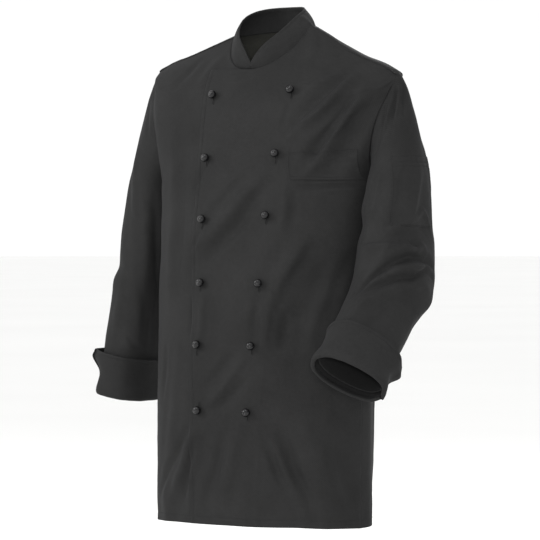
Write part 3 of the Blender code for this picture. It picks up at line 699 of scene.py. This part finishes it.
def folded(cloth, folds, seed, waver=2.5 * MM):
    """How far long curved folds raise each point of the cloth."""
    across = cloth.across + waver * wander(cloth.points, 0.04, seed)
    around = lengths_along(cloth.points, 1)[:, -1:]
    raised = np.zeros(across.shape)
    for width, height, places in folds:
        places = np.array(places) * MM
        legs = np.linalg.norm(np.diff(places, axis=0), axis=1)
        nearest, where = np.full(across.shape, 1.0), np.zeros(across.shape)
        for i, (start, leg) in enumerate(zip(places, legs)):
            run = (places[i + 1] - start) / leg
            right, up = across - start[0], cloth.up - start[1]
            if cloth.closed:
                right = (right + around / 2) % around - around / 2
            t = np.clip((right * run[0] + up * run[1]) / leg, 0, 1)
            away = np.hypot(right - t * leg * run[0], up - t * leg * run[1])
            where = np.where(away < nearest, (legs[:i].sum() + t * leg) / legs.sum(), where)
            nearest = np.minimum(nearest, away)
        q = (nearest / (width * MM)) ** 2
        fade = np.sin(pi * where) ** 0.6
        raised += height * MM * fade * (1 - 0.45 * q) * np.exp(-0.8 * q)
    return raised


sleeves, sleeve_bases = {}, {}
for side, start, end, creases, folds, flat, area in (
    (
        "left", (0.23, 0.01, -0.068), (0.23, -0.03, -0.075),
        LEFT_SLEEVE_CREASES, ELBOW_FOLDS, (0.42, 0.56), 0.159,
    ),
    (
        "right", (-0.23, 0.01, -0.06), (-0.23, 0.05, -0.065),
        RIGHT_SLEEVE_CREASES, (), (0.43, 0.54), 0.148,
    ),
):
    form = form_of(f"{side}_sleeve", SLEEVE_RIM, start, end, closed=True)
    sleeve = cloth_on(form, SLEEVE_GRID, closed=True)
    inner = ease(edge_distance(sleeve, "bottom"), 0, SLEEVE_FADE)
    inner *= ease(edge_distance(sleeve, "top"), *CUFF_FADE)
    height = (
        SLEEVE_CREASE_DEPTH * creased(sleeve, creases, 6)
        + ELBOW_DEPTH * folded(sleeve, folds, 8)
        + 0.9 * MM * wander(sleeve.points, 0.045, 31)
        + 0.3 * MM * wander(sleeve.points, 0.016, 32)
    ) * inner
    height += sewn(sleeve, "bottom", SEAM_INSET, 33, depth=0.2 * MM)
    kept = len(sleeve.points) - round(SLEEVE_END / SLEEVE_GRID)
    sleeve_bases[side], sleeves[side] = (
        Cloth(*(a[:kept] for a in whole[:4]), True) for whole in (sleeve, lifted(sleeve, height))
    )
    in_armhole = allowance(sleeves[side], "bottom")
    piece = sheet_piece(f"cloth_{side}_sleeve", in_armhole, SLEEVE_WALL, BLACK_TWILL)
    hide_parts(f"{side}_sleeve")

# ------------------------------------------------------------------ cuffs
# The end of each sleeve is turned back once into a cuff of the same twill, 75 mm deep, which stands
# off the sleeve. Its edge is turned under and stitched, and a slit leaves it two pointed corners.

CUFF_GRID, CUFF_RIM, CUFF_WALL = 2.4 * MM, 2.6 * MM, 1.0 * MM
SLIT_LAP, SLIT_SUNK = 8 * MM, 1.2 * MM  # one edge of the slit goes this far under the other
OUTER_ROWS = 4  # these rows of a cuff's form go down to its mouth, and the rest turn up inside
FOLD_TIGHTER = 0.88  # how much of the gap between the two is closed, for a thinner fold

cuffs = {}
for side, start, end, flat, area in (
    ("left", (0.303, -0.104, -0.540), (0.307, -0.106, -0.537), (0.35, 0.09), 0.028),
    ("right", (-0.326, -0.036, -0.522), (-0.324, -0.042, -0.522), (0.38, 0.09), 0.030),
):
    form = form_of(f"{side}_cuff", CUFF_RIM, start, end)
    form[OUTER_ROWS:] += (form[OUTER_ROWS - 1] - form[OUTER_ROWS]) * FOLD_TIGHTER
    # the left cuff's rows run the other way round, so they are reversed to face out
    cuff = cloth_on(form if side == "right" else form[:, ::-1], CUFF_GRID)
    height = 0.7 * MM * wander(cuff.points, 0.035, 41) + 0.25 * MM * wander(cuff.points, 0.014, 42)
    height += sewn(cuff, "bottom", EDGE_TURN, 43)
    cuffs[side] = lifted(cuff, height)
    lapped = allowance(cuffs[side], "left", reach=SLIT_LAP, depth=SLIT_SUNK)
    piece = sheet_piece(f"cloth_{side}_cuff", lapped, CUFF_WALL, BLACK_TWILL)
    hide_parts(f"{side}_cuff")
    stitches(f"stitches_{side}_cuff", line_inside(cuffs[side], "bottom", EDGE_TURN))

# ------------------------------------------------------------------ collar
# A stand collar of two layers of twill with a stiff lining, top-stitched close to its edge. Its
# rounded ends meet at the centre front.

COLLAR_GRID, COLLAR_RIM, COLLAR_WALL = 2.2 * MM, 3.0 * MM, 2.4 * MM
COLLAR_STITCH_INSET = 4 * MM
SEAM_TUCK, SEAM_INWARD = 3.5 * MM, 0.5 * MM  # the collar's lower edge goes under the panels' necks
COLLAR_ENDS = (0.0006, -0.0638, -0.0646), (-0.0006, -0.0602, -0.0656)

collar_form = form_of("collar", COLLAR_RIM, *COLLAR_ENDS)
downward = collar_form[0] - collar_form[1]
downward /= np.linalg.norm(downward, axis=1, keepdims=True)
level = collar_form[0] * (1, 1, 0)
inward = -level / np.linalg.norm(level, axis=1, keepdims=True)
tucked = collar_form[0] + downward * SEAM_TUCK + inward * SEAM_INWARD
collar = cloth_on(np.concatenate([tucked[None], collar_form]), COLLAR_GRID)
collar = lifted(
    collar,
    0.4 * MM * wander(collar.points, 0.03, 51) + 0.2 * MM * wander(collar.points, 0.012, 52)
    + sewn(collar, "top", COLLAR_STITCH_INSET, 53)
    + sewn(collar, "bottom", SEAM_TUCK + 2 * MM, 54, depth=0.15 * MM),
)
collar_piece = sheet_piece("cloth_collar", collar, COLLAR_WALL, BLACK_TWILL)
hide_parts("collar")
stitches("stitches_collar_rim", line_inside(collar, "top", COLLAR_STITCH_INSET))

# ------------------------------------------------------------------ pockets
# The chest pocket is a slit whose upper band of twill is sewn on over it. The pen pocket is a patch
# of twill on the upper left sleeve. Each follows the creases of the cloth that it is sewn to.

POCKET_GRID, POCKET_RIM, POCKET_WALL = 2.0 * MM, 1.8 * MM, 0.8 * MM
POCKET_SUNK = 0.7 * MM  # pressed down into the cloth below by its stitches
MOUTH_GAPE, GAPE_REACH = 1.6 * MM, 16 * MM  # the slit's edge stands open in the middle
BAND_ENDS = (0.1007, -0.1045, -0.2438), (0.197, -0.029, -0.2438)
PEN_POCKET_FOOT = (0.2706, -0.078, -0.3168), (0.2857, 0.0257, -0.3213)
# each row of stitches: its name, its side, how far in it is and how deep its groove, and its seed
BAND_SEAMS = (
    ("top", "top", 3 * MM, 0.2 * MM, 61),
    ("mouth", "bottom", 7 * MM, 0.4 * MM, 62),
    ("side", "left", 3 * MM, 0.2 * MM, 63),
)
PEN_POCKET_SEAMS = (
    ("front", "left", 2 * MM, 0.2 * MM, 64),
    ("foot", "bottom", 2 * MM, 0.2 * MM, 65),
    ("hem", "top", 9 * MM, 0.4 * MM, 66),
    ("bar", "top", 16 * MM, 0.3 * MM, 67),
)


def tree_of(points):
    """A search tree of a grid's points, numbered row by row."""
    tree = kdtree.KDTree(points.shape[0] * points.shape[1])
    for i, point in enumerate(points.reshape(-1, 3)):
        tree.insert(point, i)
    tree.balance()
    return tree


def following(cloth, under, before):
    """How far the cloth under this one was raised, where this one lies on it."""
    tree = tree_of(before.points)
    raised = ((under.points - before.points) * before.normals).sum(axis=2).ravel()
    found = []
    for point in cloth.points.reshape(-1, 3):
        near = tree.find_n(point, 4)
        weights = [1 / (distance + 0.1 * MM) for _, _, distance in near]
        found.append(sum(w * raised[i] for w, (_, i, _) in zip(weights, near)) / sum(weights))
    return np.array(found).reshape(cloth.points.shape[:2])


band = cloth_on(form_of("chest_pocket_band", POCKET_RIM, *BAND_ENDS), POCKET_GRID)
gape = ease(edge_distance(band, "bottom"), GAPE_REACH, 0)
gape *= np.sin(pi * np.linspace(0, 1, band.points.shape[1])) ** 0.7
band = lifted(
    band,
    following(band, fronts["left"], front_bases["left"]) - POCKET_SUNK + MOUTH_GAPE * gape
    + sum(sewn(band, side, inset, seed, depth) for _, side, inset, depth, seed in BAND_SEAMS),
)
band_piece = sheet_piece("cloth_chest_pocket_band", band, POCKET_WALL, BLACK_TWILL)
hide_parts("chest_pocket_band")
for name, side, inset, _, _ in BAND_SEAMS:
    stitches(f"stitches_chest_pocket_{name}", line_inside(band, side, inset))

pen = cloth_on(form_of("pen_pocket", POCKET_RIM, *PEN_POCKET_FOOT), POCKET_GRID)
# the patch is sewn on with its top edge level, so each column is cut off at the same height
top_height = pen.points[-1, 0, 2]
for column in range(pen.points.shape[1]):
    strip = pen.points[:, column].copy()
    rows = np.arange(len(strip))
    wanted = np.linspace(0, np.interp(top_height, strip[:, 2], rows), len(rows))
    for axis in range(3):
        pen.points[:, column, axis] = np.interp(wanted, rows, strip[:, axis])
pen = pen._replace(normals=normals_of(pen.points, False))
pen = lifted(
    pen,
    following(pen, sleeves["left"], sleeve_bases["left"]) - POCKET_SUNK
    + sum(sewn(pen, side, inset, seed, depth) for _, side, inset, depth, seed in PEN_POCKET_SEAMS),
)
pen_piece = sheet_piece("cloth_pen_pocket", pen, POCKET_WALL, BLACK_TWILL)
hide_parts("pen_pocket")
for name, side, inset, _, _ in PEN_POCKET_SEAMS:
    stitches(f"stitches_pen_pocket_{name}", line_inside(pen, side, inset))

# ------------------------------------------------------------------ buttonholes
# Each stud passes through an upright buttonhole, 17 mm long over its stitching, worked round with
# close satin stitch in the sewing thread. Between its edges is a dark slit.

HOLE_LENGTH, HOLE_HALF_WIDTH, HOLE_DEPTH = 13 * MM, 1.3 * MM, 0.5 * MM
SATIN_RADIUS = 0.75 * MM
HOLE_BELOW, HOLE_LIFT = 6.5 * MM, 0.1 * MM  # each stud sits at the upper end of its hole
# the twill's cut edges, which lie in shadow, so they are darker and nearly flat
DARK_SLIT = twill("shadowed_twill_edge", "#101010", "#161616", 0.1)
left_tree = tree_of(fronts["left"].points)
left_normals = fronts["left"].normals.reshape(-1, 3)


def seat_at(point):
    """The place on the left front nearest to this one, with its across, up and out axes."""
    near, index, _ = left_tree.find(point)
    out = Vector(left_normals[index])
    across = Vector((0, 0, 1)).cross(out).normalized()
    turn = Matrix((across, out.cross(across), out)).transposed().to_4x4()
    return Matrix.Translation(near) @ turn


seats = {}
for side in ("left", "right"):
    for row in range(1, 7):
        low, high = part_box(f"button_{side}_{row}")
        middle = (Vector(low) + Vector(high)) / 2
        # the last one on the right sits at the lower end instead
        below = -HOLE_BELOW if (side, row) == ("right", 6) else HOLE_BELOW
        seats[side, row] = seat_at(middle)
        seat = seat_at(middle - Vector((0, 0, below)))
        for kind, material in (("satin", BLACK_THREAD), ("slit", DARK_SLIT)):
            bm = bmesh.new()
            if kind == "satin":
                upright = Matrix.Rotation(pi / 2, 4, "X")
                bmesh.ops.create_circle(
                    bm, segments=8, radius=SATIN_RADIUS,
                    matrix=Matrix.Translation((HOLE_HALF_WIDTH, 0, 0)) @ upright,
                )
                bmesh.ops.spin(
                    bm, geom=bm.verts[:] + bm.edges[:], cent=(0, 0, 0), axis=(0, 0, 1),
                    angle=2 * pi, steps=20, use_merge=True,
                )
            else:
                bmesh.ops.create_uvsphere(
                    bm, u_segments=16, v_segments=8, radius=1,
                    matrix=Matrix.Diagonal((HOLE_HALF_WIDTH, HOLE_HALF_WIDTH, HOLE_DEPTH, 1)),
                )
            for vert in bm.verts:
                vert.co.y += (HOLE_LENGTH / 2) * (1 if vert.co.y > 0 else -1)
            bmesh.ops.recalc_face_normals(bm, faces=bm.faces)
            lift = Matrix.Translation((0, 0, HOLE_LIFT))
            bmesh.ops.transform(bm, matrix=seat @ lift, verts=bm.verts)
            piece = piece_of(f"buttonhole_{kind}_{side}_{row}", bm, material)
            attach(piece, "root")

# ------------------------------------------------------------------ studs
# Twelve removable ball studs of moulded plastic, in two rows of six down the front. Each has a
# shank that goes through its buttonhole, and a small dimple in its crown from the mould.

MARKS_PER_METRE = 420  # faint marks of handling, about 2.4 mm apart
# polished black plastic, which gives small clear highlights on a nearly black ball
GLOSSY_PLASTIC = bpy.data.materials.new("glossy_black_plastic")
GLOSSY_PLASTIC.use_nodes = True
stud_tree = GLOSSY_PLASTIC.node_tree
stud_shader = stud_tree.nodes["Principled BSDF"]
stud_place = add_node(stud_tree, "TexCoord")
stud_marks = add_node(
    stud_tree, "TexNoise", {}, {"Scale": MARKS_PER_METRE, "Detail": 3.0},
    [(stud_place.outputs["Object"], "Vector")],
)
stud_tint = add_node(
    stud_tree, "Mix", {"data_type": "RGBA"}, {6: colour_of("#0a0a0b"), 7: colour_of("#121213")},
    [(stud_marks.outputs["Fac"], 0)],
)
stud_gloss = add_node(
    stud_tree, "MapRange", {}, {"To Min": 0.04, "To Max": 0.08},
    [(stud_marks.outputs["Fac"], "Value")],
)
stud_tree.links.new(stud_tint.outputs[2], stud_shader.inputs["Base Color"])
stud_tree.links.new(stud_gloss.outputs[0], stud_shader.inputs["Roughness"])
stud_shader.inputs["Specular IOR Level"].default_value = 0.35

# half of the stud's outline from its back to its crown: distance from the axis, and height, in mm
STUD_OUTLINE = (
    (0, -0.6), (2.2, -0.6), (2.4, 0.6), (2.6, 1.4), (4.0, 1.7), (5.3, 2.6), (6.1, 4.0), (6.4, 5.6),
    (6.2, 7.3), (5.6, 8.9), (4.6, 10.2), (3.3, 11.2), (2.0, 11.8), (1.5, 11.75), (1.2, 11.45),
    (0.6, 11.3), (0, 11.3),
)
STUD_ACROSS = 2 * max(away for away, height in STUD_OUTLINE) * MM
DRAWN_LARGER = 1.12  # than the stud's solid, so that it is as wide as it should look

for (side, row), seat in seats.items():
    low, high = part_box(f"button_{side}_{row}")
    mean_size = (Vector(high) - Vector(low)).length / 3 ** 0.5
    scale = DRAWN_LARGER * mean_size / STUD_ACROSS * MM
    bm = bmesh.new()
    outline = [bm.verts.new((away * scale, 0, height * scale)) for away, height in STUD_OUTLINE]
    for one, next_one in zip(outline, outline[1:]):
        bm.edges.new((one, next_one))
    bmesh.ops.spin(
        bm, geom=bm.verts[:] + bm.edges[:], cent=(0, 0, 0), axis=(0, 0, 1), angle=2 * pi, steps=28,
        use_merge=True,
    )
    bmesh.ops.remove_doubles(bm, verts=bm.verts, dist=1e-6)
    bmesh.ops.recalc_face_normals(bm, faces=bm.faces)
    bmesh.ops.transform(bm, matrix=seat, verts=bm.verts)
    piece = piece_of(f"ball_stud_{side}_{row}", bm, GLOSSY_PLASTIC)
    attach(piece, "root")
    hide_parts(f"button_{side}_{row}")

# ------------------------------------------------------------------ floor, light and camera
# A plain pale painted floor under an even white studio. A broad key light comes from the wearer's
# right and front, with a weaker one above, a level one beside the camera and a weak one behind.

CAMERA_SIDE, CAMERA_RISE, CAMERA_AWAY = radians(33), radians(0.8), 5.5
FRAME_WIDTH = 0.87805  # how much of the scene the picture takes in where the jacket stands
AIM_ASIDE, AIM_HEIGHT = -0.005, -0.389
FLOOR_HEIGHT, FLOOR_RADIUS = -0.96, 60
FLOOR_MARKS_PER_METRE = 0.8  # slow changes of shade in the paint, 1.2 m across
STUDIO_STRENGTH = 1.02

# matt white paint, rolled on, which scatters the light evenly
pale_paint = bpy.data.materials.new("pale_matt_paint")
pale_paint.use_nodes = True
pale_tree = pale_paint.node_tree
pale_place = add_node(pale_tree, "TexCoord")
pale_marks = add_node(
    pale_tree, "TexNoise", {}, {"Scale": FLOOR_MARKS_PER_METRE, "Detail": 2.0},
    [(pale_place.outputs["Object"], "Vector")],
)
pale_tint = add_node(
    pale_tree, "Mix", {"data_type": "RGBA"}, {6: colour_of("#f4f4f3"), 7: colour_of("#fafaf9")},
    [(pale_marks.outputs["Fac"], 0)],
)
pale_tree.links.new(pale_tint.outputs[2], pale_tree.nodes["Principled BSDF"].inputs["Base Color"])
pale_tree.nodes["Principled BSDF"].inputs["Roughness"].default_value = 0.9

bm = bmesh.new()
bmesh.ops.create_circle(
    bm, cap_ends=True, segments=64, radius=FLOOR_RADIUS,
    matrix=Matrix.Translation((0, 0, FLOOR_HEIGHT)),
)
floor = piece_of("floor", bm, pale_paint)

world = bpy.data.worlds.new("white_studio")
bpy.context.scene.world = world
world.use_nodes = True
world.node_tree.nodes["Background"].inputs["Color"].default_value = (1, 1, 1, 1)
world.node_tree.nodes["Background"].inputs["Strength"].default_value = STUDIO_STRENGTH

aim = Vector((cos(CAMERA_SIDE), sin(CAMERA_SIDE), 0)) * AIM_ASIDE + Vector((0, 0, AIM_HEIGHT))
# each is degrees round to the wearer's left, degrees up, metres away, metres across, and watts
for name, turn, rise, away, size, power in (
    ("key_light", -42, 24, 3.0, 1.7, 48),
    ("top_light", 8, 62, 3.0, 1.3, 14),
    ("front_light", 33, 3, 5.2, 0.6, 145),
    ("back_light", -150, 35, 3.5, 1.7, 22),
):
    light = bpy.data.objects.new(name, bpy.data.lights.new(name, "AREA"))
    bpy.context.collection.objects.link(light)
    light.data.shape, light.data.size, light.data.energy = "DISK", size, power
    light.visible_glossy = name != "front_light"  # it would put a white spot on every stud
    towards = Vector((
        sin(radians(turn)) * cos(radians(rise)),
        -cos(radians(turn)) * cos(radians(rise)),
        sin(radians(rise)),
    ))
    light.location = aim + towards * away
    light.rotation_euler = towards.to_track_quat("Z", "Y").to_euler()

camera = bpy.data.objects.new("camera", bpy.data.cameras.new("camera"))
bpy.context.collection.objects.link(camera)
camera.data.sensor_width = 36
camera.data.lens = camera.data.sensor_width * CAMERA_AWAY / FRAME_WIDTH
backwards = Vector((
    sin(CAMERA_SIDE) * cos(CAMERA_RISE), -cos(CAMERA_SIDE) * cos(CAMERA_RISE), sin(CAMERA_RISE)
))
camera.location = aim + backwards * CAMERA_AWAY
camera.rotation_euler = backwards.to_track_quat("Z", "Y").to_euler()
bpy.context.scene.camera = camera
bpy.context.scene.view_settings.view_transform = "Standard"

bpy.context.view_layer.update()
